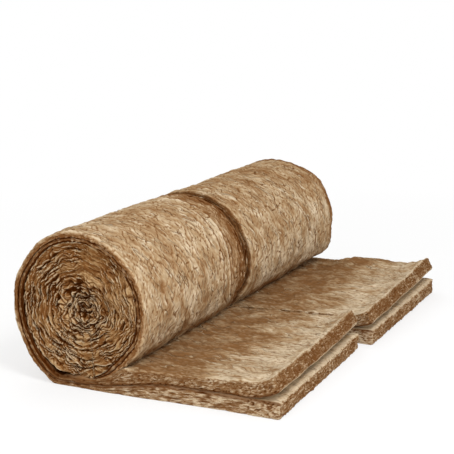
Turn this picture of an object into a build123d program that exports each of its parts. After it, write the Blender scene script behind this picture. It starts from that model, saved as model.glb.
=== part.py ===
"""A roll of glass wool insulation, slit into two half rolls and partly unrolled on the floor.

Each half roll is two layers of wool, wound together. The outer layer is the skin all round the roll and
the lower layer of the tail. The inner layer holds the wound coil and is the upper layer of the tail.
"""
from build123d import *
from math import cos, degrees, radians, sin
import os

os.makedirs("parts", exist_ok=True)

# Across the roll, along Y
half_width = 600
slit_gap = 50

# The wound coil, seen from its end with X to the right and Z up
coil_radius = 184
turn_count = 8
under_coil = 15

# The skin. The last turn lies on the right side of the coil and stands off its left side by the slack
skin_thickness = 12
skin_softness = 5
last_turn_slack = 37
sag_angle = 200
nip_angle = 51
tuck_angle = 6

# Where the last turn sags off the coil at the left and comes down to the floor
sag_slack = 50
ramp_angle = 41
bend_radius = 50

# The tail, unrolled to the right of the coil's middle
tail_length = 552
outer_thickness = 44
inner_thickness = 40
recovery_length = 280
curl_radius = 198
curl_angle = 30

# Relief of the wound ends, where every turn is a ridge, or every second one inside the slit
ridge_depth = 2
groove_depth = 10
centre_depth = 18
centre_radius = 6
rim_width = 4
slit_turns = 2
layer_clearance = 0.3
cut_margin = 1

# Places worked out from the sizes above
coil_z = skin_thickness + under_coil + coil_radius
coil_left = coil_radius + last_turn_slack
coil_x = (coil_left - tail_length) / 2
tail_end = coil_x + tail_length
roll_width = 2 * half_width + slit_gap
core_radius = coil_radius - skin_thickness - layer_clearance
skin_radius = coil_radius + last_turn_slack / 2
skin_middle = Vector(coil_x - last_turn_slack / 2, coil_z)
coil_middle = Vector(coil_x, coil_z)
recovery_x = coil_x + recovery_length
curl_x = tail_end - curl_radius * sin(radians(curl_angle))


def way(angle):
    """Direction at an angle from +X towards +Z."""
    return Vector(cos(radians(angle)), sin(radians(angle)))


sag_radius = skin_radius + sag_slack
sag_middle = skin_middle - way(sag_angle) * sag_slack
ramp_way = way(270 - ramp_angle)
bend_reach = sag_middle.dot(ramp_way) + sag_radius - bend_radius * (1 + ramp_way.Y)
bend_middle = Vector(bend_reach / ramp_way.X, bend_radius)


def wrap_line(depth, tuck):
    """Line that far inside the skin: up the coil's right side, over the top, and down to the floor."""
    rise = CenterArc(coil_middle, coil_radius - depth, -tuck, tuck)
    CenterArc(skin_middle, skin_radius - depth, 0, sag_angle)
    sag = CenterArc(sag_middle, sag_radius - depth, sag_angle, 270 - ramp_angle - sag_angle)
    bend = CenterArc(bend_middle, bend_radius - depth, 270 - ramp_angle, ramp_angle)
    Line(sag @ 1, bend @ 0)
    return rise @ 0


def layer_line(height):
    """Top of the lower layer, from the bend at the floor to its full thickness."""
    thin = Vector(coil_x, skin_thickness + height)
    thick = Vector(recovery_x, outer_thickness + height)
    middle = (thin + thick) / 2
    Line((bend_middle.X, thin.Y), thin)
    swell = TangentArc(thin, middle, tangent=(1, 0))
    TangentArc(middle, thick, tangent=swell % 1)


def outer_section(start):
    """Section of the outer layer, at the front end of its half roll."""
    tuck = nip_angle + tuck_angle
    with BuildSketch(Plane.XZ.offset(-start)) as section:
        with BuildLine():
            Line(wrap_line(0, tuck), wrap_line(skin_thickness, tuck))
            layer_line(0)
            Line((recovery_x, outer_thickness), (tail_end, outer_thickness))
            Line((tail_end, outer_thickness), (tail_end, 0))
            Line((tail_end, 0), (bend_middle.X, 0))
        make_face()
    return section.sketch


def inner_section(start):
    """Section of the inner layer with its coil, at the front end of its half roll."""
    rest = outer_thickness + layer_clearance
    notch = tuck_angle + degrees(layer_clearance / core_radius)
    with BuildSketch(Plane.XZ.offset(-start)) as section:
        with BuildLine():
            inside = wrap_line(skin_thickness + layer_clearance, nip_angle + notch)
            layer_line(layer_clearance)
            Line((recovery_x, rest), (curl_x, rest))
            under = CenterArc((curl_x, rest + curl_radius), curl_radius, 270, curl_angle)
            over = CenterArc((curl_x, rest + curl_radius), curl_radius - inner_thickness, 270, curl_angle)
            Line(under @ 1, over @ 1)
            nip = CenterArc(coil_middle, coil_radius + layer_clearance, -nip_angle, -notch)
            Line(over @ 0, nip @ 0)
            Line(nip @ 1, inside)
        make_face()
    return section.sketch


def end_relief(end, inward, turns):
    """Section of what is cut from one end of the coil, so that its turns stand out as ridges."""
    outside = end - inward * cut_margin
    rim = coil_x + coil_radius - skin_thickness
    pitch = (coil_radius - skin_thickness - centre_radius) / turns
    bottom = end + inward * centre_depth
    points = [(coil_x, outside), (coil_x, bottom), (coil_x + centre_radius, bottom)]
    for turn in range(turns):
        groove = coil_x + centre_radius + (turn + 1) * pitch
        points.append((groove - pitch / 2, end + inward * ridge_depth))
        points.append((groove, end + inward * groove_depth))
    points.append((rim + rim_width, outside))
    Polyline(points, close=True)


def relief_section(start, front_turns, back_turns):
    """Section of what is cut from both ends of a half roll's coil."""
    with BuildSketch(Plane.XY.offset(coil_z)) as section:
        with BuildLine():
            end_relief(start, 1, front_turns)
        make_face()
        with BuildLine():
            end_relief(start + half_width, -1, back_turns)
        make_face()
    return section.sketch


coil_axis = Axis((coil_x, 0, coil_z), (0, 1, 0))
few_turns = turn_count // slit_turns
for half, start, turns in (
    ("front", -roll_width / 2, (turn_count, few_turns)),
    ("rear", slit_gap / 2, (few_turns, turn_count)),
):
    with BuildPart() as outer_layer:
        extrude(outer_section(start), amount=-half_width)
        rims = outer_layer.edges().filter_by(GeomType.CIRCLE)
        chamfer(rims.filter_by(lambda rim: abs(rim.radius - skin_radius) < layer_clearance), skin_softness)
    outer_layer.part.label = f"{half}_outer_layer"
    export_step(outer_layer.part, f"parts/{half}_outer_layer.step")

    with BuildPart() as inner_layer:
        extrude(inner_section(start), amount=-half_width)
        revolve(relief_section(start, *turns), axis=coil_axis, mode=Mode.SUBTRACT)
    inner_layer.part.label = f"{half}_inner_layer"
    export_step(inner_layer.part, f"parts/{half}_inner_layer.step")
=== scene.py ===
"""Dresses a slit, partly unrolled roll of glass wool insulation and sets up its stage."""
from itertools import product
from math import cos, pi, radians, sin
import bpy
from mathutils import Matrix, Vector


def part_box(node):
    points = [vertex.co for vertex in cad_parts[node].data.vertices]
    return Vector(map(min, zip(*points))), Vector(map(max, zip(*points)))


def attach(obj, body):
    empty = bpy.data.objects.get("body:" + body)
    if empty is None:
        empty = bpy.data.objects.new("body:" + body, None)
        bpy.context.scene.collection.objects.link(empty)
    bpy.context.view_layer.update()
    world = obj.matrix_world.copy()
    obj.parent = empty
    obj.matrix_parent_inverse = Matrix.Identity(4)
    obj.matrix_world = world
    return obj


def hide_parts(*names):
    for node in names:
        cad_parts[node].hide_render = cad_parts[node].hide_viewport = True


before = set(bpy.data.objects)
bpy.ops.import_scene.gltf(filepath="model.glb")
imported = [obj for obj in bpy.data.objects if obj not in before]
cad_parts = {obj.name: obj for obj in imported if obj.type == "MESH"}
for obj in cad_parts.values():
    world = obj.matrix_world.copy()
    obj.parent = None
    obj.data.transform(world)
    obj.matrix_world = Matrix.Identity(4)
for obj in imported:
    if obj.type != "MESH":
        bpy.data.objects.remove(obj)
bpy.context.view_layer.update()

from types import SimpleNamespace

import bpy
import numpy as np
from bpy.props import FloatProperty, FloatVectorProperty, IntProperty, PointerProperty
from mathutils import Matrix, Vector

bl_info = {
    "name": "Insulation Roll",
    "version": (1, 0, 0),
    "blender": (4, 5, 0),
    "location": "View3D > Sidebar > Wool",
    "description": "Wool layers of a slit, partly unrolled insulation roll, and a stage for it",
    "category": "Object",
}

FRONT_LOW, FRONT_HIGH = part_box("front_outer_layer")
REAR_LOW, REAR_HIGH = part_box("rear_outer_layer")

# Layout of the meshes
LEVELS = 12
LAYER_GAP, COIL_GAP = 0.0006, 0.0012
OUTER_ROUNDING, INNER_ROUNDING = 0.0025, 0.0035
EDGE_STATIONS = np.array([0, 0.0007, 0.002, 0.004, 0.0065, 0.0095, 0.013, 0.017])
ACROSS_STEP, FOLDED_STEP, FOLDED_WIDTH = 0.0041, 0.0020, 0.125
SPARSE_STATIONS = 8
SPOKES, FINE_RINGS, COARSE_RINGS = 420, 84, 38
WALL_SHARES = (0.02, 0.06, 0.5, 0.94, 0.98)
TUCK_MARGIN = radians(29)

# What is added to the seed for each use of the random relief
INNER_SEED, COIL_SEED, OUTER_TONE_SEED, INNER_TONE_SEED = 20, 40, 60, 61

# Random relief, each part given by its shift, its size, its height, and whether it is folded into ridges
SOFT_LUMPS = ((0, (0.17, 0.15, 0.17), 0.0045, False), (3, (0.07, 0.08, 0.07), 0.0016, False))
OPEN_LUMPS = (
    (0, (0.075, 0.05, 0.05), 0.0026, False), (5, (0.045, 0.022, 0.05), 0.0040, True),
    (9, (0.030, 0.014, 0.03), 0.0028, True), (15, (0.013, 0.010, 0.03), 0.0012, False),
)
SLOW_TONES = ((0, (0.12, 0.07, 0.2), 0.30, False), (3, (0.05, 0.026, 0.2), 0.22, False))

# Folds along the slit: their share of the way to the shoulder's edge, and their depth
SLIT_FOLDS = (
    (0.06, 0.0028), (0.22, 0.0036), (0.40, 0.0032), (0.58, 0.0028), (0.78, 0.0020), (1.0, 0.0026), (1.4, 0.0014)
)


# Sizes and colours


def length_property(name, description, default):
    return FloatProperty(name=name, description=description, default=default, unit="LENGTH")


def angle_property(name, description, degrees):
    return FloatProperty(name=name, description=description, default=radians(degrees), subtype="ANGLE")


def colour_property(name, description, default):
    return FloatVectorProperty(
        name=name, description=description, default=default, subtype="COLOR", size=3, min=0, max=1
    )


class RollSizes(bpy.types.PropertyGroup):
    """Sizes of the wound roll, as in the CAD solids."""

    coil_radius: length_property("Coil Radius", "Outside of the coil at its right side", 0.184)
    skin_radius: length_property("Skin Radius", "Outside of the last turn over the top", 0.2025)
    layer_thickness: length_property("Wound Thickness", "Thickness of one layer where it is wound", 0.012)
    sag_slack: length_property("Sag Slack", "How much wider the last turn is at the left", 0.05)
    sag_angle: angle_property("Sag Angle", "Where the last turn widens", 200)
    ramp_angle: angle_property("Ramp Angle", "Slope at which the last turn reaches the floor", 41)
    bend_radius: length_property("Floor Bend", "Radius of the bend at the floor", 0.05)
    nip_angle: angle_property("Nip Angle", "Where the tail leaves the coil, below its middle", 51)
    turns: FloatProperty(name="Turns", description="Double turns seen on each end", default=7.67)
    seed: IntProperty(name="Seed", description="Number that starts all the random relief", default=7)


class TailSizes(bpy.types.PropertyGroup):
    """Sizes of the unrolled tail, as in the CAD solids."""

    outer_thickness: length_property("Lower Thickness", "Thickness of the lower layer", 0.044)
    inner_thickness: length_property("Upper Thickness", "Thickness of the upper layer", 0.040)
    recovery_length: length_property("Recovery Length", "Length in which the lower layer swells", 0.28)
    curl_radius: length_property("Curl Radius", "Radius of the raised end's underside", 0.198)
    curl_angle: angle_property("Curl Angle", "How far the end is raised", 30)


class WoolColours(bpy.types.PropertyGroup):
    """Colours of the wool and of the floor."""

    # Pale also gives the painted highlights on raised wool and beside wrinkles.
    pale: colour_property("Pale Fibres", "Raised fibres", (0.64, 0.515, 0.355))
    middle: colour_property("Wool", "Most of the surface", (0.405, 0.272, 0.148))
    # Deep is darker wool in streaks and patches, and also the painted shade in dents and wrinkles.
    deep: colour_property("Deep Wool", "Hollows and streaks", (0.235, 0.114, 0.044))
    # The darkest colour is painted shade in the gaps between turns and folds; on wound ends it also darkens fibre
    # streaks.
    crack: colour_property("Cracks", "Between turns and folds", (0.060, 0.014, 0.001))
    cut_tint: colour_property("Cut Tint", "Multiplies the colours of cut faces", (0.68, 0.57, 0.48))
    wound_tint: colour_property("Wound End Tint", "Multiplies the colours of wound ends", (0.78, 0.62, 0.44))
    floor: colour_property("Floor", "Plain floor", (0.9, 0.9, 0.9))


# Curves and random relief


def ease(value, low, high):
    """0 below low, 1 above high, and smooth between."""
    part = np.clip((np.asarray(value, float) - low) / (high - low), 0, 1)
    return part * part * (3 - 2 * part)


def fade(value, low, high):
    """1 below low, 0 above high, and smooth between."""
    return 1 - ease(value, low, high)


def bell(value, middle, width):
    """1 at the middle and 0 well away from it."""
    return np.exp(-(((value - middle) / width) ** 2))


def round_bell(angle, middle, width):
    """The same round a circle, with its middle and width in degrees."""
    return bell((angle - radians(middle) + pi) % (2 * pi), pi, radians(width))


def edge_drop(distance, reach, depth):
    """How far a rounded edge has dropped, at a distance from its end."""
    part = np.clip(1 - np.asarray(distance, float) / reach, 0, 1)
    return depth * (1 - np.sqrt(1 - part**2))


def points_at(x, y, z):
    """Points from their coordinates, any of which may be one number."""
    return np.stack(np.broadcast_arrays(x, y, z), -1)


class Relief:
    """Smooth random relief from one seed."""

    def __init__(self, seed):
        random = np.random.default_rng(seed)
        self.order = random.permutation(256)
        slopes = random.normal(size=(256, 3))
        self.slopes = slopes / np.linalg.norm(slopes, axis=1)[:, None]

    def noise(self, points, size):
        """Noise from about -1 to 1 at each point, with features of this size along each axis."""
        scaled = np.asarray(points) / np.asarray(size, float)
        shape = scaled.shape[:-1]
        scaled = scaled.reshape(-1, 3)
        cell = np.floor(scaled).astype(int)
        part = scaled - cell
        blend = part**3 * (part * (part * 6 - 15) + 10)
        total = np.zeros(len(scaled))
        for corner in product((0, 1), repeat=3):
            i, j, k = ((cell + corner) & 255).T
            slope = self.slopes[self.order[(self.order[(self.order[i] + j) & 255] + k) & 255]]
            weight = np.prod(np.where(corner, blend, 1 - blend), axis=1)
            total += weight * ((part - corner) * slope).sum(1)
        return (total * 1.6).reshape(shape)

    def lumps(self, points, layers):
        """Several noises added up, each given by its shift, size and height, and whether it is ridged."""
        total = 0
        for shift, size, height, ridged in layers:
            noise = self.noise(points + shift, size)
            total = total + height * (np.abs(noise) if ridged else noise)
        return total

    def folds(self, points, size, sharpness=3):
        """Thin lines, 1 on each line and 0 away from it."""
        return np.clip(1 - np.abs(self.noise(points, size)) * sharpness, 0, 1) ** 2


# Section of the roll, with X to the right and Z up


def way(angle):
    """Direction at an angle from +X towards +Z."""
    return np.stack([np.cos(angle), np.sin(angle)], -1)


def section_places(roll, tail):
    """Places of the section worked out from the sizes."""
    coil_z = FRONT_HIGH.z - roll.skin_radius
    coil_x = FRONT_LOW.x + 2 * roll.skin_radius - roll.coil_radius
    skin = np.array([FRONT_LOW.x + roll.skin_radius, coil_z])
    sag = skin - way(roll.sag_angle) * roll.sag_slack
    sag_radius = roll.skin_radius + roll.sag_slack
    ramp = 1.5 * pi - roll.ramp_angle
    reach = sag @ way(ramp) + sag_radius - roll.bend_radius * (1 + sin(ramp))
    return SimpleNamespace(
        coil=np.array([coil_x, coil_z]), skin=skin, sag=sag, sag_radius=sag_radius, ramp=ramp,
        bend=np.array([reach / cos(ramp), roll.bend_radius]),
        tail_end=FRONT_HIGH.x, recovery_x=coil_x + tail.recovery_length,
        curl_x=FRONT_HIGH.x - tail.curl_radius * sin(tail.curl_angle),
        tuck=roll.nip_angle + TUCK_MARGIN,
    )


def arc(middle, radius, start, end, step=0.001):
    """Points along an arc and the way out at each."""
    count = max(int(abs(end - start) * radius / step), 2)
    out = way(np.linspace(start, end, count))
    return middle + radius * out, out


def straight(start, end, out, step=0.001):
    """Points along a line and the way out at each."""
    count = max(int(np.linalg.norm(end - start) / step), 2)
    points = start + np.linspace(0, 1, count)[:, None] * (end - start)
    return points, np.broadcast_to(out, points.shape)


def wrap_course(roll, places):
    """The outside of the last turn, from its start under the coil to the floor and the end of the tail."""
    rise = arc(places.coil, roll.coil_radius, -places.tuck, 0)
    over = arc(places.skin, roll.skin_radius, 0, roll.sag_angle)
    sag = arc(places.sag, places.sag_radius, roll.sag_angle, places.ramp)
    bend = arc(places.bend, roll.bend_radius, places.ramp, 1.5 * pi)
    ramp = straight(sag[0][-1], bend[0][0], way(places.ramp))
    floor = straight(bend[0][-1], np.array([places.tail_end, 0.0]), way(1.5 * pi))
    parts = [rise, over, sag, ramp, bend, floor]
    points = np.concatenate([p[0][:-1] for p in parts] + [floor[0][-1:]])
    out = np.concatenate([p[1][:-1] for p in parts] + [floor[1][-1:]])
    length = np.concatenate([[0], np.cumsum(np.linalg.norm(np.diff(points, axis=0), axis=1))])
    floor_start = length[len(points) - len(floor[0])]
    return SimpleNamespace(points=points, out=out, length=length, floor_start=floor_start)


def roll_plan(scene):
    """The sizes, the places and the course that both layers are built from."""
    roll, tail = scene.roll_sizes, scene.tail_sizes
    places = section_places(roll, tail)
    return roll, tail, places, wrap_course(roll, places)


def at(course, places_along):
    """Points and ways out at lengths along a course."""
    points = np.stack([np.interp(places_along, course.length, c) for c in course.points.T], 1)
    out = np.stack([np.interp(places_along, course.length, c) for c in course.out.T], 1)
    return points, out / np.linalg.norm(out, axis=1)[:, None]


def lower_top(x, roll, tail, places):
    """Height of the lower layer's top on the floor."""
    swell = tail.outer_thickness - roll.layer_thickness
    return roll.layer_thickness + swell * ease(x, places.coil[0], places.recovery_x)


def steps(*runs):
    """Lengths from the first run's start to the last run's end, each run given as its end and its step."""
    values = [0.0]
    for end, step in runs:
        count = max(int(round((end - values[-1]) / step)), 1)
        values += list(np.linspace(values[-1], end, count + 1)[1:])
    return np.array(values)


def wound_thickness(along, roll):
    """Thickness of a wound layer, which thins out where it goes under the coil."""
    return roll.layer_thickness * np.interp(along, [0, 0.09], [0.08, 1])


def outer_strip(roll, tail, places, course):
    """Outside and inside of the outer layer at each station along it."""
    floor, end = course.floor_start, course.length[-1]
    along = steps((floor - 0.2, 0.0038), (floor, 0.006), (end - 0.09, 0.014), (end, 0.0045))
    outside, out = at(course, along)
    thick = np.where(along > floor, lower_top(outside[:, 0], roll, tail, places), wound_thickness(along, roll))
    return along, outside, outside - out * thick[:, None]


def inner_strip(roll, tail, places, course):
    """Outside and inside of the inner layer, from inside the last turn to the end of the tail."""
    fine = 0.0036
    nip = places.coil + roll.coil_radius * way(-roll.nip_angle)
    top = tail.outer_thickness + tail.inner_thickness + LAYER_GAP
    curl_start = course.floor_start + places.curl_x - places.bend[0]
    nip_start = course.floor_start + nip[0] - places.bend[0]
    along = steps((course.floor_start, 0.0075), (nip_start, 0.006), (curl_start, fine))
    line, out = at(course, along)
    on_floor = along > course.floor_start
    wound = wound_thickness(along, roll)
    lower = np.where(on_floor, lower_top(line[:, 0], roll, tail, places), wound) + LAYER_GAP
    outside = line - out * lower[:, None]
    inside = outside - out * wound[:, None]
    x = outside[:, 0]
    sunk = np.maximum((roll.coil_radius + LAYER_GAP) ** 2 - (x - places.coil[0]) ** 2, 0)
    under = places.coil[1] - np.sqrt(sunk)
    left_top = 2 * roll.layer_thickness + LAYER_GAP
    left = np.interp(x, [places.bend[0], places.coil[0]], [left_top, under.min()])
    sloped = np.interp(x, [nip[0], places.curl_x], [nip[1], top])
    upper = np.where(x < places.coil[0], left, np.where(x < nip[0], under, sloped))
    inside[on_floor, 1] = upper[on_floor]
    turns = np.linspace(0, tail.curl_angle, int(tail.curl_angle * tail.curl_radius / fine) + 1)[1:]
    middle = np.array([places.curl_x, tail.outer_thickness + LAYER_GAP + tail.curl_radius])
    ray = way(1.5 * pi + turns)
    outside = np.concatenate([outside, middle + ray * tail.curl_radius])
    inside = np.concatenate([inside, middle + ray * (tail.curl_radius - tail.inner_thickness)])
    along = np.concatenate([along, along[-1] + turns * tail.curl_radius])
    return (along, outside, inside), nip_start


# Meshes


def across_stations(width, folded):
    """Stations across a half roll, close together at both edges and in the folded part before the far one."""
    margin = EDGE_STATIONS[-1]
    count = int(round((width - 2 * margin) / ACROSS_STEP / 4)) * 4
    inner = np.linspace(margin, width - margin, count + 1)[1:-1]
    if folded:
        close = np.arange(width - margin - FOLDED_STEP, width - FOLDED_WIDTH, -FOLDED_STEP)[::-1]
        inner = np.concatenate([inner[inner < close[0] - FOLDED_STEP / 2], close])
    return np.concatenate([EDGE_STATIONS, inner, (width - EDGE_STATIONS)[::-1]])


def grid_faces(numbers, flip=False):
    """Faces between the rows and columns of a grid of point numbers."""
    faces = np.stack([numbers[:-1, :-1], numbers[1:, :-1], numbers[1:, 1:], numbers[:-1, 1:]], -1).reshape(-1, 4)
    return (faces[:, ::-1] if flip else faces).tolist()


def strip_mesh(sides, across, start, fine, rounding):
    """A closed strip. Gives its points, faces, grain coordinates, and how much each point is on a cut face.

    fine tells, for its outside and its inside, at which lengths all the stations across are kept.
    """
    along, outside, inside = sides
    nu, nv, nw = len(along), len(across), LEVELS + 1
    width = across[-1]
    thick = np.linalg.norm(inside - outside, axis=1)
    u, v, w = np.meshgrid(np.arange(nu), np.arange(nv), np.arange(nw), indexing="ij")
    shown = (u == 0) | (u == nu - 1) | (v == 0) | (v == nv - 1) | (w == 0) | (w == nw - 1)
    u, v, w = u[shown], v[shown], w[shown]
    number = np.full((nu, nv, nw), -1)
    number[shown] = np.arange(len(u))
    side = np.minimum(across[v], width - across[v])
    end = along[-1] - along[u]
    size = np.minimum(rounding, thick[u] * 0.42)
    drop = np.maximum(edge_drop(side, size, size), edge_drop(end, size, size))
    depth = drop + w / LEVELS * (thick[u] - 2 * drop)
    section = outside[u] + (depth / thick[u])[:, None] * (inside[u] - outside[u])
    on_cut = (v == 0) | (v == nv - 1) | (u == nu - 1)

    sparse = np.unique(np.r_[0, 1, 3, np.arange(5, nv - 5, SPARSE_STATIONS), nv - 4, nv - 2, nv - 1])
    faces = []
    for level, kept, flip in ((0, fine[0], False), (nw - 1, fine[1], True)):
        for row in range(nu - 1):
            near, far = number[row, :, level], number[row + 1, :, level]
            if kept[row] and kept[row + 1]:
                faces += grid_faces(np.stack([near, far], 1), flip)
                continue
            for low, high in zip(sparse[:-1], sparse[1:]):
                first = near[low : high + 1] if kept[row] or row == 0 else near[[low, high]]
                second = far[low : high + 1] if kept[row + 1] or row + 1 == nu - 1 else far[[low, high]]
                ring = first.tolist() + second[::-1].tolist()
                faces.append(ring[::-1] if flip else ring)
    for column, flip in ((0, False), (nv - 1, True)):
        faces += grid_faces(number[:, column], flip)
    for row, flip in ((0, False), (nu - 1, True)):
        faces += grid_faces(number[row].T, flip)
    return SimpleNamespace(
        points=points_at(section[:, 0], start + across[v], section[:, 1]), faces=faces,
        grain=points_at(along[u], start + across[v], depth),
        cut=np.where(on_cut, 1.0, fade(np.minimum(side, end), 0.0, 0.002)),
        face=SimpleNamespace(out=w == 0, inner=w == nw - 1, side=side, end=end, level=w / LEVELS),
    )


def layer_strip(half, sides, trims, folded, fine, rounding, floor_start):
    """One layer of a half roll. Its roll is trimmed at both ends, and on the floor it has its full width."""
    start, end = half.start + trims[0], half.end - trims[1]
    shape = strip_mesh(sides, across_stations(end - start, folded), start, fine, rounding)
    on_floor = ease(shape.grain[:, 0], floor_start - 0.02, floor_start + 0.05)
    y = shape.points[:, 1]
    spread = half.start + (half.end - half.start) * (y - start) / (end - start)
    shape.points[:, 1] += (spread - y) * on_floor
    return shape


def new_mesh(name, points, faces):
    mesh = bpy.data.meshes.new(name)
    mesh.from_pydata(points.tolist(), [], faces)
    mesh.update()
    return mesh


def measured(points, faces):
    """Outward direction at each point, and the two points of each edge."""
    mesh = new_mesh("measured", points, faces)
    normals = np.zeros(len(points) * 3, np.float32)
    mesh.vertex_normals.foreach_get("vector", normals)
    edges = np.zeros(len(mesh.edges) * 2, np.int32)
    mesh.edges.foreach_get("vertices", edges)
    bpy.data.meshes.remove(mesh)
    return normals.reshape(-1, 3).astype(float), edges.reshape(-1, 2).T


def stand_out(points, faces):
    """How far each point stands out of the surface round it, in metres, below 0 in a hollow."""
    normals, (first, second) = measured(points, faces)

    def summed(values):
        both = ((first, values[second]), (second, values[first]))
        return sum(np.bincount(ends, others, len(points)) for ends, others in both)

    share = np.maximum(summed(np.ones(len(points))), 1)
    smooth = points.copy()
    for _ in range(3):
        around = [summed(axis) for axis in smooth.T]
        smooth = 0.3 * smooth + 0.7 * np.stack(around, 1) / share[:, None]
    return ((points - smooth) * normals).sum(1)


MARKS = ("cut", "crevice", "wound", "tone")


def used_only(shape):
    """The shape without the points that none of its faces uses."""
    used = np.zeros(len(shape.points), bool)
    used[np.concatenate([np.asarray(f) for f in shape.faces])] = True
    renumber = np.cumsum(used) - 1
    shape.faces = [[int(renumber[n]) for n in f] for f in shape.faces]
    for label in ("points", "grain") + MARKS:
        setattr(shape, label, getattr(shape, label)[used])
    return shape


def joined(shapes):
    """Several closed shapes as one."""
    faces, offset = [], 0
    for shape in shapes:
        faces += [[n + offset for n in f] for f in shape.faces]
        offset += len(shape.points)
    marks = {n: np.concatenate([getattr(s, n) for s in shapes]) for n in ("points", "grain") + MARKS}
    return SimpleNamespace(faces=faces, **marks)


def combed(shape, relief):
    """How strongly the streaks show, from 0 to 1."""
    x, y, z = shape.points.T
    patches = ease(relief.noise(shape.grain + 50, (0.09, 0.06, 0.2)), -0.3, 0.4)
    return 0.25 * patches + fade(z, 0.10, 0.13) * ease(x, 0.0, 0.1) * (0.2 + 0.4 * patches)


def wool_tone(shape, relief):
    """Slow changes of tone, from 0 for brown to 1 for pale, with painted light low on the roll and painted shade over
    its top.
    """
    x, y, z = shape.points.T
    bent = shape.grain + 0.02 * relief.noise(shape.grain, (0.05, 0.05, 0.05))[:, None]
    tone = 0.5 + relief.lumps(bent, SLOW_TONES)
    in_roll = ease(z, 0.085, 0.12)
    stained = ease(relief.noise(bent + 8, (0.14, 0.10, 0.2)), -0.45, 0.15)
    # Low on the roll: paler, as painted light against the shade there, with real brown stains.
    on_roll = fade(z, 0.10, 0.27) * (0.35 - 0.50 * stained)
    # Paler near the floor, except at the left, as painted light against the contact shadow.
    on_roll += 0.2 * fade(z, 0.09, 0.15) * ease(x, -0.16, -0.06)
    # Paler at mid height towards the back.
    on_roll += 0.2 * fade(z, 0.20, 0.34) * ease(y, 0.0, 0.15)
    # Painted shade over the top, more towards the back.
    on_roll -= (0.03 + 0.12 * ease(y, 0.0, 0.1)) * ease(z, 0.29, 0.38)
    # On the tail: darker near the roll and to its left, paler towards the free end.
    on_tail = 0.85 * ease(x, 0.10, 0.36) - 0.40 + 0.25 * relief.noise(bent + 5, (0.12, 0.035, 0.2))
    low = on_tail * ease(x, -0.1, 0.0) - 0.2 * ease(-x, 0.0, 0.1)
    return tone + in_roll * on_roll + (1 - in_roll) * low


def wool_object(name, shape, material, relief):
    """A piece of wool with what its material reads from each point."""
    mesh = new_mesh(name, shape.points, shape.faces)
    out = stand_out(shape.points, shape.faces)
    slow = wool_tone(shape, relief)
    slow += (0.34 - slow) * 0.8 * shape.cut * (1 - shape.wound)
    # The mark for points that stand out is a painted highlight, and the darkening mark is painted shade, more where a
    # point lies in a dent; the tone holds random tone with painted light and shade.
    marks = {
        "cut": shape.cut, "wound": shape.wound, "crest": out / 0.0012 - 0.1,
        "crevice": shape.crevice + np.clip(-out / 0.0014, 0, 1) * 0.45, "tone": slow + shape.tone,
        "combed": combed(shape, relief),
    }
    mesh.polygons.foreach_set("use_smooth", np.ones(len(mesh.polygons), bool))
    grain = mesh.attributes.new("grain", "FLOAT_VECTOR", "POINT")
    grain.data.foreach_set("vector", shape.grain.astype(np.float32).ravel())
    for label, values in marks.items():
        made = mesh.attributes.new(label, "FLOAT", "POINT")
        made.data.foreach_set("value", np.clip(values, 0, 1).astype(np.float32))
    mesh.materials.append(material)
    piece = bpy.data.objects.new(name, mesh)
    bpy.context.scene.collection.objects.link(piece)
    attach(piece, "root")
    return piece


# Shape that all the layers of a half roll share. Rims, shoulder: reach and depth. Closing: at the top and on
# the floor. Trims: at the front and at the back. Corner: how far the tail's corner at the slit is raised.

HALVES = {
    "front": SimpleNamespace(
        start=FRONT_LOW.y, end=FRONT_HIGH.y, slit_side=1, rims=((0.008, 0.004), (0.010, 0.006)),
        shoulder=(0.112, 0.007), closing=(0.008, 0.018), skin_trim=(0.000, 0.004), band_trim=(0.002, -0.008),
        tail_skew=(0.012, -0.015), corner=0.010,
    ),
    "rear": SimpleNamespace(
        start=REAR_LOW.y, end=REAR_HIGH.y, slit_side=-1, rims=((0.008, 0.004), (0.018, 0.003)),
        shoulder=(0.112, 0.0), closing=(0.013, 0.018), skin_trim=(0.000, 0.010), band_trim=(-0.006, 0.000),
        tail_skew=(0.011, -0.006), corner=-0.008,
    ),
}


def slit_distance(y, half):
    return half.end - y if half.slit_side > 0 else y - half.start


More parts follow.
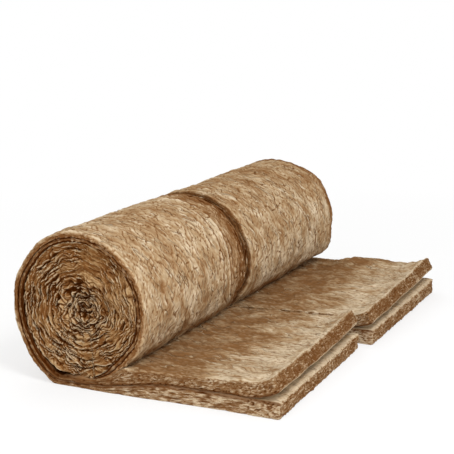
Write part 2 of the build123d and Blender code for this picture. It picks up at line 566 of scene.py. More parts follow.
def settle(points, half, roll, places, relief):
    """Moves points of any layer together, for rounded rims, a roll that sinks, soft lumps and a skewed tail."""
    x, y, z = points.T
    first, last = HALVES["front"].start, HALVES["rear"].end
    run = np.clip((y - first) / (last - first), 0, 1)
    right, up = x - places.coil[0], z - places.coil[1]
    reach = np.hypot(right, up)
    in_roll = ease(z, 0.045, 0.11) * np.clip(reach / roll.coil_radius, 0, 1) ** 2
    in_roll *= 1 - (right > 0) * (up < 0) * ease(reach - roll.coil_radius, 0.008, 0.020)

    # Worn rims, and the shoulder down to the slit
    drop = edge_drop(y - half.start, *half.rims[0]) + edge_drop(half.end - y, *half.rims[1])
    to_slit = slit_distance(y, half)
    shoulder_reach, shoulder_depth = half.shoulder
    wavy = shoulder_reach * (1 + 0.25 * relief.noise(points_at(x, 0, z), (0.12, 1, 0.12)))
    drop = drop + shoulder_depth * np.clip(1 - to_slit / wavy, 0, 1) ** 1.3

    # The two half rolls lean together at the slit
    wander = 0.0045 * relief.noise(points_at(x, half.start, z), (0.035, 1, 0.035))
    if half.slit_side < 0:
        wander = wander + 0.010 * relief.noise(points_at(x, 0.3, z), (0.09, 1, 0.09))
    high, low = half.closing
    closing = high + wander + (low - high) * fade(z, 0.07, 0.13)
    y = y + half.slit_side * closing * fade(to_slit, 0, 0.2) * fade(x, 0.16, 0.36)

    # Lumps, a bulge at the far end and a dent at the near end
    soft = relief.lumps(points, SOFT_LUMPS)
    angle = np.arctan2(up, right)
    soft += 0.011 * bell(angle, radians(52), radians(26)) * ease(run, 0.82, 1.0)
    soft -= 0.005 * bell(angle, radians(140), radians(22)) * fade(run, 0.0, 0.2)
    pull = (soft - drop) * in_roll / np.maximum(reach, 1e-6)
    x, z = x + right * pull, z + up * pull

    # The far end sinks and spreads
    z = z - np.interp(run, [0, 0.5, 0.78, 1], [-0.005, 0.003, 0.012, 0.012]) * ease(z, 0.12, 0.41)
    x = x + np.interp(run, [0, 0.5, 1], [0, 0, 0.010]) * ease(-right, 0.0, 0.2) * ease(z, 0.1, 0.25)
    bulge = 0.009 * ease(run, 0.6, 1.0) * ease(z, 0.085, 0.12) * ease(right, -0.1, 0.1)
    bulge += 0.014 * ease(run, 0.82, 1.0) * ease(z, 0.086, 0.10) * fade(z, 0.11, 0.20) * (right > 0)
    x = x + bulge * fade(x, 0.06, 0.12)

    # The tail is skewed and wavy, with a hump at the back and one corner raised at the slit
    x = x + np.interp(y, [half.start, half.end], half.tail_skew) * ease(x, 0.15, 0.33)
    wave = relief.noise(points_at(x, y, 0), (0.2, 0.13, 1)) * 0.005
    hump = 0.014 * ease(x, 0.0, 0.08) - 0.008 * ease(x, 0.16, 0.28) + 0.004 * ease(x, 0.28, 0.38)
    corner = ease(x, 0.24, 0.38) * fade(to_slit, 0.0, 0.2) * half.corner
    z = z + ((wave + hump * ease(y, 0.25, 0.6)) * ease(x, 0.02, 0.12) + corner) * ease(z, 0.03, 0.08)
    y = y - 0.015 * ease(-y, 0.5, 0.62) * fade(x, -0.1, 0.25) * fade(z, 0.0, 0.2)
    x = x - 0.005 * ease(-x, 0.2, 0.35) * ease(-y, 0.3, 0.6)
    return points_at(x, y, np.maximum(z, 0))


# Fine relief, with painted shade and light


def open_relief(grain, relief, calm):
    """Height and painted shade of a wool surface that isn't cut, with its streaks along the wool's length."""
    bent = grain.copy()
    bent[:, 1] += relief.noise(grain, (0.09, 0.06, 0.1)) * 0.016 + relief.noise(grain + 1, (0.03, 0.03, 0.1)) * 0.007
    height = relief.lumps(bent, OPEN_LUMPS)
    slanted, crossed = bent.copy(), bent.copy()
    slanted[:, 1] += 0.3 * bent[:, 0]
    crossed[:, 1] -= 0.6 * bent[:, 0]
    torn = ease(relief.noise(bent + 4, (0.06, 0.05, 0.1)), -0.05, 0.35)
    shaded_creases = relief.folds(slanted + 2, (0.070, 0.028, 0.08), 8.5) * torn
    shaded_creases = np.maximum(shaded_creases, relief.folds(crossed + 12, (0.035, 0.020, 0.08), 9) * (1 - torn) * 0.7)
    shaded_creases = shaded_creases * (1 - 0.7 * calm)
    height -= shaded_creases * 0.0042
    hollow_shade = ease(0.10 - np.abs(relief.noise(bent + 5, (0.045, 0.020, 0.05))), 0.0, 0.10)
    return height, np.clip(shaded_creases * 0.30 + hollow_shade * 0.15, 0, 1)


def slit_folds(grain, to_slit, relief):
    """Height, painted shade, brownness and paleness of the shoulder beside the slit, with the folds along it. The
    paleness is a painted highlight on the shoulder's edge and on the folds' ridges; the brownness is browner wool
    together with painted shade towards the slit.
    """
    height, crevice, ridges = np.zeros(len(grain)), np.zeros(len(grain)), np.zeros(len(grain))

    def line(shift, length):
        """Noise along the wool's length alone."""
        return relief.noise(points_at(grain[:, 0], 0, 0) + shift, (length, 1, 1))

    edge = 0.100 + line(9.7, 0.11) * 0.014 + line(4.2, 0.035) * 0.003
    edge = edge * (0.4 + 0.6 * ease(grain[:, 0], 0.10, 0.23))
    for number, (share, depth) in enumerate(SLIT_FOLDS):
        wander = line(number * 2.3, 0.10) * 0.009 + line(number, 0.03) * 0.0028
        strength = ease(line(number * 5.1 + 0.5, 0.12), -0.5, 0.3)
        beside = to_slit - share * edge - wander
        fold = bell(beside, 0, 0.0036) * strength
        ridge = bell(beside, 0.0090, 0.0045) * strength
        height += depth * (0.8 * ridge - fold)
        ridges += ridge * (0.45 if share < 0.9 else 0.0)
        crevice += fold * (0.95 if share < 0.7 else 0.4)
    clear = ease(grain[:, 0], 0.09, 0.17)
    brown = fade(to_slit, edge - 0.004, edge + 0.003)
    brown *= 0.45 + 0.55 * fade(to_slit / edge, 0.35, 0.65)
    pale = bell(to_slit - edge, 0.007, 0.005) + ridges * clear
    return height * clear, crevice * clear, brown, pale


def cut_relief(grain, relief):
    """Height and painted shade of a cut face, where the wool's layers show as thin ridges."""
    bent = grain + 0.006 * relief.noise(grain + 1, (0.03, 0.03, 0.02))[:, None]
    height = relief.noise(grain, (0.05, 0.05, 0.02)) * 0.0020
    height += np.abs(relief.noise(bent + 4, (0.016, 0.02, 0.009))) * 0.0042
    lines = relief.folds(bent + 7, (0.026, 0.03, 0.009), 6)
    return height - lines * 0.0020, np.clip(lines * 0.40, 0, 1)


def strip_relief(shape, relief, half, floor_start, is_inner):
    """Adds fine relief to the shown sides of a strip. The side that lies on the other layer has less of it. It also
    sets the strip's painted shade, and a tone that holds painted light and shade.
    """
    face, cut = shape.face, shape.cut
    length, y = shape.grain[:, 0], shape.grain[:, 1]
    normals, _ = measured(shape.points, shape.faces)
    wound = fade(length, floor_start - 0.15, floor_start)
    to_slit = slit_distance(y, half)
    open_height, open_shade = open_relief(shape.grain, relief, ease(length, floor_start, floor_start + 0.15))
    cut_height, cut_shade = cut_relief(shape.grain, relief)
    touching = (face.out if is_inner else face.inner) & (face.side != 0)
    height = cut * cut_height + (1 - cut) * open_height * np.where(touching, 0.4, 1.0)
    height *= 1 - wound * (0.6 * face.out * fade(to_slit, 0.0, 0.03) + 0.75 * ~face.out * (to_slit < 0.012))

    on_side = fade(face.side, 0.0, 0.0015)
    under_coil = (1 - wound) * fade(shape.points[:, 0], -0.24, -0.10)
    # Painted shade along the joins between the layers.
    seam_shade = fade(1 - face.level, 0.0, 0.16)
    if is_inner:
        seam_shade = fade(face.level, 0.0, 0.16) + seam_shade * wound
        shape.wound = 0.45 * on_side * wound
        shape.tone = -0.35 * on_side * wound - 0.25 * (face.end == 0)
    else:
        on_side = on_side * np.where(face.out, 0.35, 1.0)
        shape.wound = 0.55 * on_side * wound
        shape.tone = -0.40 * on_side * wound - 0.05 * (face.end == 0)
        # On the tail: a painted highlight on the lower layer's top and painted light on its sides.
        shape.tone += (0.4 * face.inner + 0.30 * on_side) * (1 - wound)
    # Painted shade on the sides under the coil.
    shape.tone -= 0.40 * on_side * under_coil
    seam_shade = seam_shade * (1 - wound * 0.85 * ease(relief.noise(shape.grain + 31, (0.05, 0.2, 0.2)), -0.35, 0.2))
    # Painted shade in the relief's lines, along the joins of the layers, and on the inner faces inside the roll and
    # under the coil.
    shape.crevice = cut * cut_shade + (1 - cut) * open_shade
    shape.crevice += seam_shade * fade(face.side, 0.0005, 0.0050) * (0.55 + 0.5 * wound)
    shape.crevice += 0.7 * face.inner * (wound + under_coil if is_inner else wound)
    if is_inner:
        ledge = fade(to_slit, 0.006, 0.016) * wound
        frayed = relief.noise(shape.grain + 71, (0.045, 0.5, 0.5))
        frayed += 0.35 * relief.noise(shape.grain + 73, (0.016, 0.5, 0.5))
        shape.points[:, 1] += half.slit_side * 0.010 * (frayed - 0.2) * ledge
        shape.cut, shape.wound = np.maximum(shape.cut, ledge), shape.wound * (1 - ledge)
        shape.tone -= (0.40 - 0.6 * frayed) * ledge
    # Beside the slit: painted shade in the folds, painted highlights on their ridges and the shoulder's edge, and
    # browner wool with painted shade towards the slit.
    if half.slit_side > 0:
        fold_height, fold_shade, brown, pale = slit_folds(shape.grain, to_slit, relief)
        height += fold_height * wound * face.out
        shape.crevice += fold_shade * wound * face.out
        shape.cut = np.maximum(shape.cut, brown * wound)
        shape.tone += (0.38 * pale - 0.30 * brown) * wound
    else:
        far = fade(half.end - y + 0.010 * relief.noise(shape.grain, (0.05, 0.05, 0.05)), 0.018, 0.038)
        shape.cut = np.maximum(shape.cut, 0.7 * far * wound)
        shape.tone -= 0.4 * far * wound
    shape.points = shape.points + normals * height[:, None]
    return shape


# The coil and its wound ends


def coil_outline(angles, roll, places, course, inside):
    """Radius of the coil at each angle, and the radius that its outermost whole turn would have there."""

    def reach(points, beyond):
        offset = points - places.coil
        turn = np.unwrap(np.arctan2(offset[:, 1], offset[:, 0]))
        return np.interp(angles, turn, np.linalg.norm(offset, axis=1), right=beyond) - COIL_GAP

    wound = course.length < course.floor_start
    whole = course.points[wound] - course.out[wound] * 2 * roll.layer_thickness
    touching = reach(inside, 1.0)
    widest = touching.max(where=touching < 0.9, initial=0)
    rest = roll.coil_radius + (widest - roll.coil_radius) * fade(angles, radians(198), radians(238))
    rest = rest + 0.012 * ease(angles, radians(198), radians(226)) * fade(angles, radians(236), radians(268))
    outline = np.minimum(touching, rest)
    return outline, np.minimum(reach(whole, 1.0), outline)


def wound_end(radius, share, angle, whole, roll, places, relief):
    """How deep a wound end lies at each place, its painted shade, its grain and its tone, which holds painted light
    and shade.
    """
    pitch = roll.coil_radius / roll.turns
    clockwise = (-places.tuck - angle) % (2 * pi)
    flat = points_at(radius * np.cos(angle), 0, radius * np.sin(angle))

    def patch(shift, size):
        """Noise across the end."""
        return relief.noise(flat + shift, (size, 1, size))

    core = fade(share, 0.15, 0.60)
    warp = patch(0, 0.095) * 0.75 + patch(1, 0.045) * (0.22 + 0.53 * core) + patch(2, 0.020) * (0.10 + 0.22 * core)
    turn = (roll.turns - clockwise / (2 * pi)) * (1 - radius / whole) + warp * fade(share, 0.86, 0.99)
    count = np.floor(turn)
    part = turn - count
    swept = 2 * pi * count + clockwise
    along = roll.coil_radius * swept - pitch * swept**2 / (4 * pi)
    grain = points_at(-along, 0, part * pitch)
    loose = grain + 0.009 * patch(11, 0.028)[..., None]

    top = round_bell(angle, 85, 38) * ease(share, 0.30, 0.55)
    right = round_bell(angle, 5, 48) * ease(share, 0.42, 0.60)
    left = round_bell(angle, 180, 42) * ease(share, 0.30, 0.60)
    calm = np.maximum(top, 0.8 * right)
    torn = ease(patch(8, 0.05), -0.35, 0.35)
    broken = ease(relief.noise(loose + 27, (0.035, 1, 0.016)), -0.25, 0.2)
    busy = 0.25 + 0.95 * ease(patch(33, 0.075) + 0.5 * core, -0.45, 0.35)
    sheets = relief.folds(loose, (0.085, 1, 0.0088), 2.8) * busy
    shaded_creases = relief.folds(loose + 6, (0.040, 1, 0.0070), 3.2) * ease(patch(21, 0.05), -0.5, 0.3) * busy
    crumple = relief.folds(flat + 4 + loose * 0.2, (0.034, 1, 0.026), 4.2) * (0.28 + 0.72 * core) * busy
    crossing = relief.folds(loose + 16, (0.018, 1, 0.022), 7.0) * ease(patch(24, 0.06), 0.0, 0.5)
    gaps = bell(np.minimum(part, 1 - part) * pitch, 0, 0.0026) * (0.10 + 0.90 * torn) * broken
    halves = bell((part - 0.5) * pitch, 0, 0.0020) * (1 - torn) * (1 - broken)
    ribs = np.abs(relief.noise(loose + 13, (0.055, 1, 0.012))) + np.abs(patch(17, 0.030))
    small = relief.noise(grain + 3, (0.014, 1, 0.0045))
    swing = relief.noise(points_at(-along, 0, 0), (0.09, 1, 1))

    # Each pattern sinks the end and adds painted shade along its lines.
    lines, crevice = ribs * 0.0060, 0
    for pattern, deep, dark in (
        (gaps, 0.010, 1.0), (halves, 0.005, 0.70), (sheets, 0.005, 0.72), (shaded_creases, 0.004, 0.62),
        (crumple, 0.006, 0.75), (crossing, 0.003, 0.55),
    ):
        lines, crevice = lines + pattern * deep, crevice + pattern * dark
    depth = 0.0040 + lines * (1 - 0.45 * calm) + small * 0.0010 - swing * 0.0055
    depth += 0.010 * fade(share, 0.0, 0.75) + edge_drop((1 - share) * radius.max(), 0.004, 0.004)
    crevice = np.clip((crevice - 0.16) * (1 - 0.5 * calm) + 0.3 * ease(small, 0.1, 0.7), 0, 1)
    # Painted shade in the gap round the rim on the right.
    crevice = np.maximum(crevice, np.minimum(right * 1.6, 1) * bell(share, 0.985, 0.012))
    below = ease(angle, radians(190), radians(215)) * fade(angle, radians(275), radians(290))
    # Tone: random, with painted shade at the top and on the left and painted light low down near the rim; paler on
    # the right and in the core.
    tone = 0.55 * relief.noise(loose + 40, (0.12, 1, 0.020)) + 0.5 * patch(44, 0.08)
    tone += 0.25 * right - 0.40 * top - 0.75 * left + 0.45 * core + 0.6 * below * bell(share, 0.955, 0.035)
    return depth, crevice, grain, tone


def coil_shape(half, roll, places, course, inside, relief, fine_end):
    """The coil as a closed drum whose ends show their turns. fine_end is 0 for its front end and 1 for its back."""
    angles = np.linspace(-places.tuck, 2 * pi - places.tuck, SPOKES, endpoint=False)
    outline, whole = coil_outline(angles, roll, places, course, inside)
    parts, faces, rims = [], [], []

    def add(points, grain, *marks):
        """Adds points with their painted shade, cut and tone, and gives the number of the first."""
        parts.append([points, grain] + [np.broadcast_to(mark, len(points)) for mark in marks])
        return sum(len(part[0]) for part in parts[:-1])

    def on_rings(values):
        """The middle's value once, and then those of every ring."""
        return np.concatenate([values[:1, 0], values[1:].reshape(-1, *values.shape[2:])])

    def closed(numbers):
        return np.concatenate([numbers, numbers[:, :1]], 1)

    for which, (y, inward) in enumerate(((half.start, 1), (half.end, -1))):
        fine = which == fine_end
        count = FINE_RINGS if fine else COARSE_RINGS
        shares = np.linspace(0, 1, count + 1) ** (1.0 if fine else 0.6)
        share, angle = np.meshgrid(shares, angles, indexing="ij")
        radius = share * outline
        depth, crevice, grain, tone = wound_end(radius, share, angle, whole, roll, places, relief)
        x, z = places.coil[0] + radius * np.cos(angle), places.coil[1] + radius * np.sin(angle)
        grid = points_at(x, y + inward * depth, z)
        grid[0] = grid[0].mean(0)
        middle = add(on_rings(grid), on_rings(grain), on_rings(crevice), 1.0, on_rings(tone))
        numbers = closed(middle + 1 + np.arange(count * SPOKES).reshape(count, SPOKES))
        fan = np.stack([np.full(SPOKES, middle), numbers[0, :-1], numbers[0, 1:]], 1)
        faces += (fan if inward > 0 else fan[:, ::-1]).tolist() + grid_faces(numbers, inward < 0)
        rims.append(numbers[-1, :-1])
    levels = [rims[0]]
    for share in WALL_SHARES:
        y = half.start + share * (half.end - half.start)
        wall = points_at(places.coil[0] + outline * np.cos(angles), y, places.coil[1] + outline * np.sin(angles))
        # The walls between the two ends carry painted shade.
        first = add(wall, points_at(roll.coil_radius * angles, y, 0), 0.8, 0.5, 0.0)
        levels.append(first + np.arange(SPOKES))
    faces += grid_faces(closed(np.array(levels + [rims[1]])))
    points, grain, crevice, cut, tone = (np.concatenate(values) for values in zip(*parts))
    return SimpleNamespace(points=points, faces=faces, grain=grain, cut=cut, wound=cut, crevice=crevice, tone=tone)


# Materials


VALUE, VECTOR, COLOUR = "NodeSocketFloat", "NodeSocketVector", "NodeSocketColor"
SHADES = ("Pale", "Middle", "Deep", "Crack")
TINTS = ("Cut Tint", "Wound Tint")
WOUND_DARKER = 0.06
PATTERNS = ("Patches", "Streaks", "Strands", "Creases", "Glints")
READ_MARKS = ("Crevice", "Crest", "Cut", "Wound", "Tone", "Combed")


def add_node(tree, kind, inputs=None, **settings):
    """A node with its settings, and its inputs set or linked."""
    made = tree.nodes.new(kind)
    for name, value in settings.items():
        setattr(made, name, value)
    for key, value in (inputs or {}).items():
        if isinstance(value, bpy.types.NodeSocket):
            tree.links.new(value, made.inputs[key])
        else:
            made.inputs[key].default_value = value
    return made


def math(tree, operation, first, second=0.0):
    return add_node(tree, "ShaderNodeMath", {0: first, 1: second}, operation=operation).outputs[0]


def plus(tree, first, second):
    return math(tree, "ADD", first, second)


def minus(tree, first, second):
    return math(tree, "SUBTRACT", first, second)


def times(tree, first, second):
    return math(tree, "MULTIPLY", first, second)


def scaled(tree, value, low, high, to_low=0.0, to_high=1.0):
    """A value brought from one range to another, without leaving it."""
    ranges = {"Value": value, "From Min": low, "From Max": high, "To Min": to_low, "To Max": to_high}
    return add_node(tree, "ShaderNodeMapRange", ranges).outputs["Result"]


def mixed(tree, share, first, second, blend="MIX"):
    """One colour over another."""
    made = add_node(tree, "ShaderNodeMix", {0: share, 6: first, 7: second}, data_type="RGBA", blend_type=blend)
    return made.outputs[2]


def fibres(tree, vector, stretch, scale, detail, roughness, distortion=0.0):
    """Noise whose coordinates are multiplied by the stretch, so that it runs long where that is small."""
    made = add_node(tree, "ShaderNodeVectorMath", {0: vector, 1: stretch}, operation="MULTIPLY")
    settings = {"Scale": scale, "Detail": detail, "Roughness": roughness, "Distortion": distortion}
    return add_node(tree, "ShaderNodeTexNoise", {"Vector": made.outputs["Vector"], **settings}).outputs["Fac"]


def new_group(name, inputs, outputs):
    """A node group with its sockets, given as their labels and kinds."""
    tree = bpy.data.node_groups.new(name, "ShaderNodeTree")
    for way_in, sockets in (("INPUT", inputs), ("OUTPUT", outputs)):
        for label, kind in sockets.items():
            tree.interface.new_socket(label, in_out=way_in, socket_type=kind)
    return tree, tree.nodes.new("NodeGroupInput").outputs, tree.nodes.new("NodeGroupOutput").inputs


def fibre_group():
    """Patterns of wool fibres that run along the wool's length, with wrinkle lines for painted shade and glints for
    painted highlights.
    """
    tree, given, result = new_group(
        "Wool Fibres", {"Grain": VECTOR, "Cut": VALUE, "Combed": VALUE}, dict.fromkeys(PATTERNS, VALUE)
    )
    grain = given["Grain"]
    parts = add_node(tree, "ShaderNodeSeparateXYZ", {0: grain}).outputs
    slant = plus(tree, parts["Y"], times(tree, parts["X"], 0.40))
    slanted = add_node(tree, "ShaderNodeCombineXYZ", {0: parts["X"], 1: slant, 2: parts["Z"]}).outputs["Vector"]
    patches = fibres(tree, slanted, (0.6, 1, 1), 24.0, 2.5, 0.55, 0.8)
    matted = fibres(tree, slanted, (0.38, 1, 1), 80.0, 4.0, 0.58, 1.0)
    fine = fibres(tree, grain, (0.22, 1, 1), 190.0, 3.0, 0.60, 0.8)
    fine = plus(tree, 0.5, times(tree, minus(tree, fine, 0.5), 4.5))
    streaks = add_node(tree, "ShaderNodeMix", {0: given["Combed"], 2: matted, 3: fine}).outputs[0]
    cut_streaks = fibres(tree, grain, (0.22, 0.36, 1.2), 190.0, 4.0, 0.68, 1.4)
    strands = fibres(tree, grain, (0.35, 1, 1), 260.0, 2.0, 0.7, 0.6)
    shaded_creases = fibres(tree, slanted, (0.22, 1, 1), 44.0, 0.6, 0.5, 0.4)
    sparse = scaled(tree, fibres(tree, grain, (0.5, 1, 1), 34.0, 0.5, 0.5), 0.46, 0.58)
    sparse = times(tree, sparse, scaled(tree, given["Combed"], 0.2, 0.7, 1.0, 0.3))
    sparse = times(tree, sparse, scaled(tree, given["Cut"], 0.0, 0.6, 1.0, 0.2))
    # The wrinkle lines are painted shade of small dents and also lower the bump; the glints beside them are painted
    # highlights.
    lines = math(tree, "ABSOLUTE", minus(tree, shaded_creases, 0.5))
    beside = math(tree, "ABSOLUTE", minus(tree, shaded_creases, 0.535))
    both = add_node(tree, "ShaderNodeMix", {0: given["Cut"], 2: streaks, 3: cut_streaks}).outputs[0]
    shaded_creases = times(tree, scaled(tree, lines, 0.026, 0.006), sparse)
    glints = times(tree, scaled(tree, beside, 0.024, 0.004), sparse)
    for label, value in zip(PATTERNS, (patches, both, strands, shaded_creases, glints)):
        tree.links.new(value, result[label])
    return tree


def tint_group():
    """Colour, roughness and height of wool from its patterns, with its painted shade and highlights."""
    tree, of, result = new_group(
        "Wool Tint",
        dict.fromkeys(SHADES + TINTS, COLOUR) | dict.fromkeys(PATTERNS + READ_MARKS[:-1], VALUE),
        {"Color": COLOUR, "Roughness": VALUE, "Height": VALUE},
    )
    weight = scaled(tree, of["Cut"], 0.0, 1.0, 0.13, 1.05)
    tone = times(tree, minus(tree, of["Streaks"], 0.5), weight)
    # The tone takes painted highlights where the wool stands out and beside the wrinkles, and painted shade in the
    # gaps.
    for label, middle, share in (
        ("Patches", 0.5, 0.44), ("Strands", 0.5, 0.10), ("Tone", 0.5, 0.25), ("Crest", 0.0, 0.09),
        ("Glints", 0.0, 0.17), ("Crevice", 0.0, -0.08),
    ):
        tone = plus(tree, tone, times(tree, minus(tree, of[label], middle), share))
    low = mixed(tree, scaled(tree, tone, -0.13, 0.0), of["Deep"], of["Middle"])
    high = mixed(tree, scaled(tree, tone, 0.0, 0.16), low, of["Pale"])
    # Painted shade in the wrinkles and gaps, then painted highlights on the wound ends' raised parts.
    shaded_and_lit = mixed(tree, times(tree, of["Creases"], 0.65), high, of["Deep"])
    shaded_and_lit = mixed(tree, scaled(tree, of["Crevice"], 0.03, 0.38, 0.0, 0.80), shaded_and_lit, of["Deep"])
    crest = times(tree, of["Wound"], scaled(tree, of["Crest"], 0.30, 0.95))
    shaded_and_lit = mixed(tree, times(tree, crest, 0.75), shaded_and_lit, of["Pale"])
    only_cut = times(tree, of["Cut"], minus(tree, 1.0, of["Wound"]))
    only_cut = times(tree, only_cut, scaled(tree, tone, 0.03, 0.16, 1.0, 0.25))
    cut = mixed(tree, only_cut, shaded_and_lit, of["Cut Tint"], "MULTIPLY")
    tinted = minus(tree, of["Wound"], times(tree, crest, 0.7))
    wound = mixed(tree, tinted, cut, of["Wound Tint"], "MULTIPLY")
    # Towards the darkest colour: the painted shade, and darker fibre streaks on the wound ends.
    frayed = times(tree, minus(tree, 0.5, of["Streaks"]), times(tree, of["Wound"], 1.8))
    frayed = plus(tree, of["Crevice"], frayed)
    colour = mixed(tree, scaled(tree, frayed, 0.36, 0.86, 0.0, 0.98), wound, of["Crack"])
    rise = scaled(tree, of["Cut"], 0.0, 1.0, 0.15, 0.36)
    height = plus(tree, times(tree, of["Streaks"], rise), times(tree, of["Strands"], 0.20))
    height = minus(tree, height, times(tree, of["Creases"], 0.30))
    height = plus(tree, height, times(tree, of["Glints"], 0.14))
    tree.links.new(colour, result["Color"])
    tree.links.new(scaled(tree, of["Strands"], 0.3, 0.7, 0.98, 0.82), result["Roughness"])
    tree.links.new(height, result["Height"])
    return tree


def wool_material(name, colours, darker):
    """Brown glass wool. darker brings its shades down."""
    material = bpy.data.materials.new(name)
    material.use_nodes = True
    tree = material.node_tree
    shader = tree.nodes["Principled BSDF"]
    shader.inputs["Specular IOR Level"].default_value = 0.0
    patterns = add_node(tree, "ShaderNodeGroup", node_tree=bpy.data.node_groups["Wool Fibres"])
    tint = add_node(tree, "ShaderNodeGroup", node_tree=bpy.data.node_groups["Wool Tint"])
    grain = add_node(tree, "ShaderNodeAttribute", attribute_name="grain")
    tree.links.new(grain.outputs["Vector"], patterns.inputs["Grain"])
    for label in READ_MARKS:
        mark = add_node(tree, "ShaderNodeAttribute", attribute_name=label.lower())
        for group in (patterns, tint):
            if label in group.inputs:
                tree.links.new(mark.outputs["Fac"], group.inputs[label])
    for label in PATTERNS:
        tree.links.new(patterns.outputs[label], tint.inputs[label])
    for label in SHADES + TINTS:
        kept = 1 - darker if label in SHADES else 1
        colour = getattr(colours, label.lower().replace(" ", "_"))
        tint.inputs[label].default_value = (*(c * kept for c in colour), 1)
    bump = add_node(tree, "ShaderNodeBump", {"Strength": 1.0, "Distance": 0.010, "Height": tint.outputs["Height"]})
    tree.links.new(tint.outputs["Color"], shader.inputs["Base Color"])
    tree.links.new(tint.outputs["Roughness"], shader.inputs["Roughness"])
    tree.links.new(bump.outputs["Normal"], shader.inputs["Normal"])
    return material


def wool_materials(scene):
    """The two wool materials, made once."""
    names = ("matted_wool", "wound_wool")
    if names[0] not in bpy.data.materials:
        fibre_group()
        tint_group()
        wool_material(names[0], scene.wool_colours, 0.0)
        wool_material(names[1], scene.wool_colours, WOUND_DARKER)
    return [bpy.data.materials[n] for n in names]


# Stage

FLOOR_REACH, FLOOR_DROP = 40, 0.0005
LAMPS = (
    # name, place, aim, size, power
    ("key", (1.6, -1.5, 2.7), (-0.05, 0.0, 0.15), 1.0, 46),
    ("fill", (0.3, -3.4, 1.3), (0.0, 0.0, 0.2), 2.0, 24),
    ("rim", (-1.6, 1.2, 2.4), (-0.05, 0.0, 0.2), 1.5, 12),
    ("side", (2.8, -1.0, 0.6), (0.0, 0.0, 0.12), 1.6, 15),
)
CAMERA_ANGLES = (26.76, 13.33, 0.5)
CAMERA_TARGET, CAMERA_DISTANCE = (0, 0, 0.2), 3.99589
FOCAL_PIXELS, SHIFT_PIXELS, PICTURE_PIXELS = 1343.44, (17.73, 38.55), 454
SENSOR_WIDTH = 36


def add_floor(scene):
    """A pale floor that turns white further away."""
    corners = np.array([(-1, -1, 0), (1, -1, 0), (1, 1, 0), (-1, 1, 0)], float)
    mesh = new_mesh("floor", corners * FLOOR_REACH, [[0, 1, 2, 3]])
    floor = bpy.data.objects.new("floor", mesh)
    scene.collection.objects.link(floor)
    floor.location.z = -FLOOR_DROP
    material = bpy.data.materials.new("pale_floor")
    material.use_nodes = True
    tree = material.node_tree
    shader = tree.nodes["Principled BSDF"]
    shader.inputs["Base Color"].default_value = (*scene.wool_colours.floor, 1)
    shader.inputs["Roughness"].default_value = 0.9
    shader.inputs["Specular IOR Level"].default_value = 0.1
    white = add_node(tree, "ShaderNodeEmission", {"Color": (1, 1, 1, 1), "Strength": 1.0})
    seen = add_node(tree, "ShaderNodeLightPath").outputs["Is Camera Ray"]
    place = add_node(tree, "ShaderNodeNewGeometry").outputs["Position"]
    away = add_node(tree, "ShaderNodeVectorMath", {0: place}, operation="LENGTH").outputs["Value"]
    white_share = times(tree, seen, scaled(tree, away, 0.9, 2.2, 0.62, 1.0))
    blend = add_node(tree, "ShaderNodeMixShader", {0: white_share, 1: shader.outputs[0]})
    tree.links.new(white.outputs[0], blend.inputs[2])
    tree.links.new(blend.outputs[0], tree.nodes["Material Output"].inputs["Surface"])
    mesh.materials.append(material)


def add_surroundings(scene):
    """A white world that lights a little less than it shows."""
    world = bpy.data.worlds.new("surroundings")
    world.use_nodes = True
    tree = world.node_tree
    light_path = add_node(tree, "ShaderNodeLightPath")
    seen = math(tree, "MAXIMUM", light_path.outputs["Is Camera Ray"], light_path.outputs["Is Glossy Ray"])
    tree.links.new(scaled(tree, seen, 0.0, 1.0, 0.76, 1.0), tree.nodes["Background"].inputs["Strength"])
    tree.nodes["Background"].inputs["Color"].default_value = (1, 1, 1, 1)
    scene.world = world


def add_lamps(scene):
    for name, place, aim, size, power in LAMPS:
        lamp = bpy.data.lights.new(name, "AREA")
        lamp.shape = "SQUARE"
        lamp.size = size
        lamp.energy = power
        made = bpy.data.objects.new(name, lamp)
        made.location = place
        made.rotation_euler = (Vector(aim) - Vector(place)).to_track_quat("-Z", "Y").to_euler()
        scene.collection.objects.link(made)


def add_camera(scene):
    """The camera that was fitted to the photograph."""
    azimuth, elevation, roll = (radians(angle) for angle in CAMERA_ANGLES)
    forward = Vector((-sin(azimuth) * cos(elevation), cos(azimuth) * cos(elevation), -sin(elevation)))
    right = Vector((cos(azimuth), sin(azimuth), 0))
    down = forward.cross(right)
    right, down = cos(roll) * right + sin(roll) * down, cos(roll) * down - sin(roll) * right
    aside, lower = (shift / FOCAL_PIXELS for shift in SHIFT_PIXELS)
    eye = Vector(CAMERA_TARGET) - (forward + right * aside + down * lower) * CAMERA_DISTANCE
    data = bpy.data.cameras.new("view")
    data.sensor_width = SENSOR_WIDTH
    data.lens = SENSOR_WIDTH * FOCAL_PIXELS / PICTURE_PIXELS
    camera = bpy.data.objects.new("view", data)
    camera.matrix_world = Matrix.Translation(eye) @ Matrix((right, -down, -forward)).transposed().to_4x4()
    scene.collection.objects.link(camera)
    scene.camera = camera


# Operators


class WOOL_OT_outer_layers(bpy.types.Operator):
    """Adds the outer wool layer of both half rolls"""

    bl_idname = "wool.outer_layers"
    bl_label = "Outer Wool Layers"

    def execute(self, context):
        roll, tail, places, course = roll_plan(context.scene)
        sides = outer_strip(roll, tail, places, course)
        along, floor_start = sides[0], course.floor_start
        fine = (along < floor_start - 0.03, along > along[-1] - 0.085)
        material, _ = wool_materials(context.scene)
        for name, half in HALVES.items():
            shape = layer_strip(half, sides, half.skin_trim, half.slit_side > 0, fine, OUTER_ROUNDING, floor_start)
            strip_relief(shape, Relief(roll.seed + len(name)), half, floor_start, False)
            shape.points = settle(shape.points, half, roll, places, Relief(roll.seed))
            piece = wool_object(f"{name}_outer_wool", used_only(shape), material, Relief(roll.seed + OUTER_TONE_SEED))
            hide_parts(f"{name}_outer_layer")
        return {"FINISHED"}


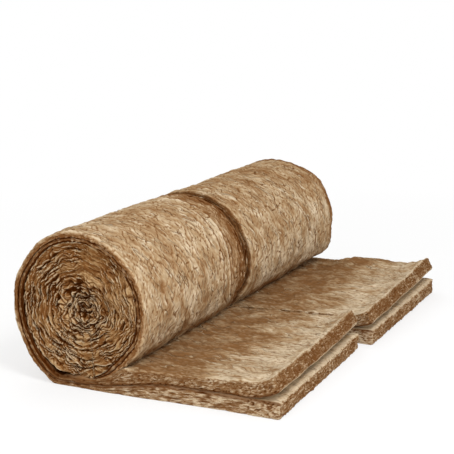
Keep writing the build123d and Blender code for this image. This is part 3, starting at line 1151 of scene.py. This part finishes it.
class WOOL_OT_inner_layers(bpy.types.Operator):
    """Adds the inner wool layer of both half rolls, with its coil"""

    bl_idname = "wool.inner_layers"
    bl_label = "Inner Wool Layers"

    def execute(self, context):
        roll, tail, places, course = roll_plan(context.scene)
        sides, nip_start = inner_strip(roll, tail, places, course)
        along, floor_start = sides[0], course.floor_start
        fine = (along > along[-1] - 0.1, along > nip_start - 0.02)
        wound = sides[2][along < floor_start]
        _, material = wool_materials(context.scene)
        for number, (name, half) in enumerate(HALVES.items()):
            strip = layer_strip(half, sides, half.band_trim, False, fine, INNER_ROUNDING, floor_start)
            strip_relief(strip, Relief(roll.seed + INNER_SEED + number), half, floor_start, True)
            coil = coil_shape(half, roll, places, course, wound, Relief(roll.seed + COIL_SEED + number), number)
            for part in (strip, coil):
                part.points = settle(part.points, half, roll, places, Relief(roll.seed))
            shape = joined([used_only(strip), used_only(coil)])
            piece = wool_object(f"{name}_inner_wool", shape, material, Relief(roll.seed + INNER_TONE_SEED))
            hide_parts(f"{name}_inner_layer")
        return {"FINISHED"}


class WOOL_OT_stage(bpy.types.Operator):
    """Adds the floor, the lamps, the pale surroundings and the camera"""

    bl_idname = "wool.stage"
    bl_label = "Stage"

    def execute(self, context):
        scene = context.scene
        add_floor(scene)
        add_surroundings(scene)
        add_lamps(scene)
        add_camera(scene)
        scene.view_settings.view_transform = "Standard"
        return {"FINISHED"}


class WOOL_PT_panel(bpy.types.Panel):
    """Lists the sizes, the colours and what can be added"""

    bl_label = "Insulation Roll"
    bl_idname = "WOOL_PT_panel"
    bl_space_type = "VIEW_3D"
    bl_region_type = "UI"
    bl_category = "Wool"

    def draw(self, context):
        layout = self.layout
        for group in (context.scene.roll_sizes, context.scene.tail_sizes, context.scene.wool_colours):
            column = layout.column()
            for name in group.__annotations__:
                column.prop(group, name)
        layout.operator("wool.outer_layers")
        layout.operator("wool.inner_layers")
        layout.operator("wool.stage")


CLASSES = (
    RollSizes, TailSizes, WoolColours, WOOL_OT_outer_layers, WOOL_OT_inner_layers, WOOL_OT_stage, WOOL_PT_panel
)


def register():
    for made in CLASSES:
        bpy.utils.register_class(made)
    bpy.types.Scene.roll_sizes = PointerProperty(type=RollSizes)
    bpy.types.Scene.tail_sizes = PointerProperty(type=TailSizes)
    bpy.types.Scene.wool_colours = PointerProperty(type=WoolColours)


def unregister():
    del bpy.types.Scene.roll_sizes, bpy.types.Scene.tail_sizes, bpy.types.Scene.wool_colours
    for made in reversed(CLASSES):
        bpy.utils.unregister_class(made)


def main():
    register()
    bpy.ops.wool.outer_layers()
    bpy.ops.wool.inner_layers()
    bpy.ops.wool.stage()


if __name__ == "__main__":
    main()
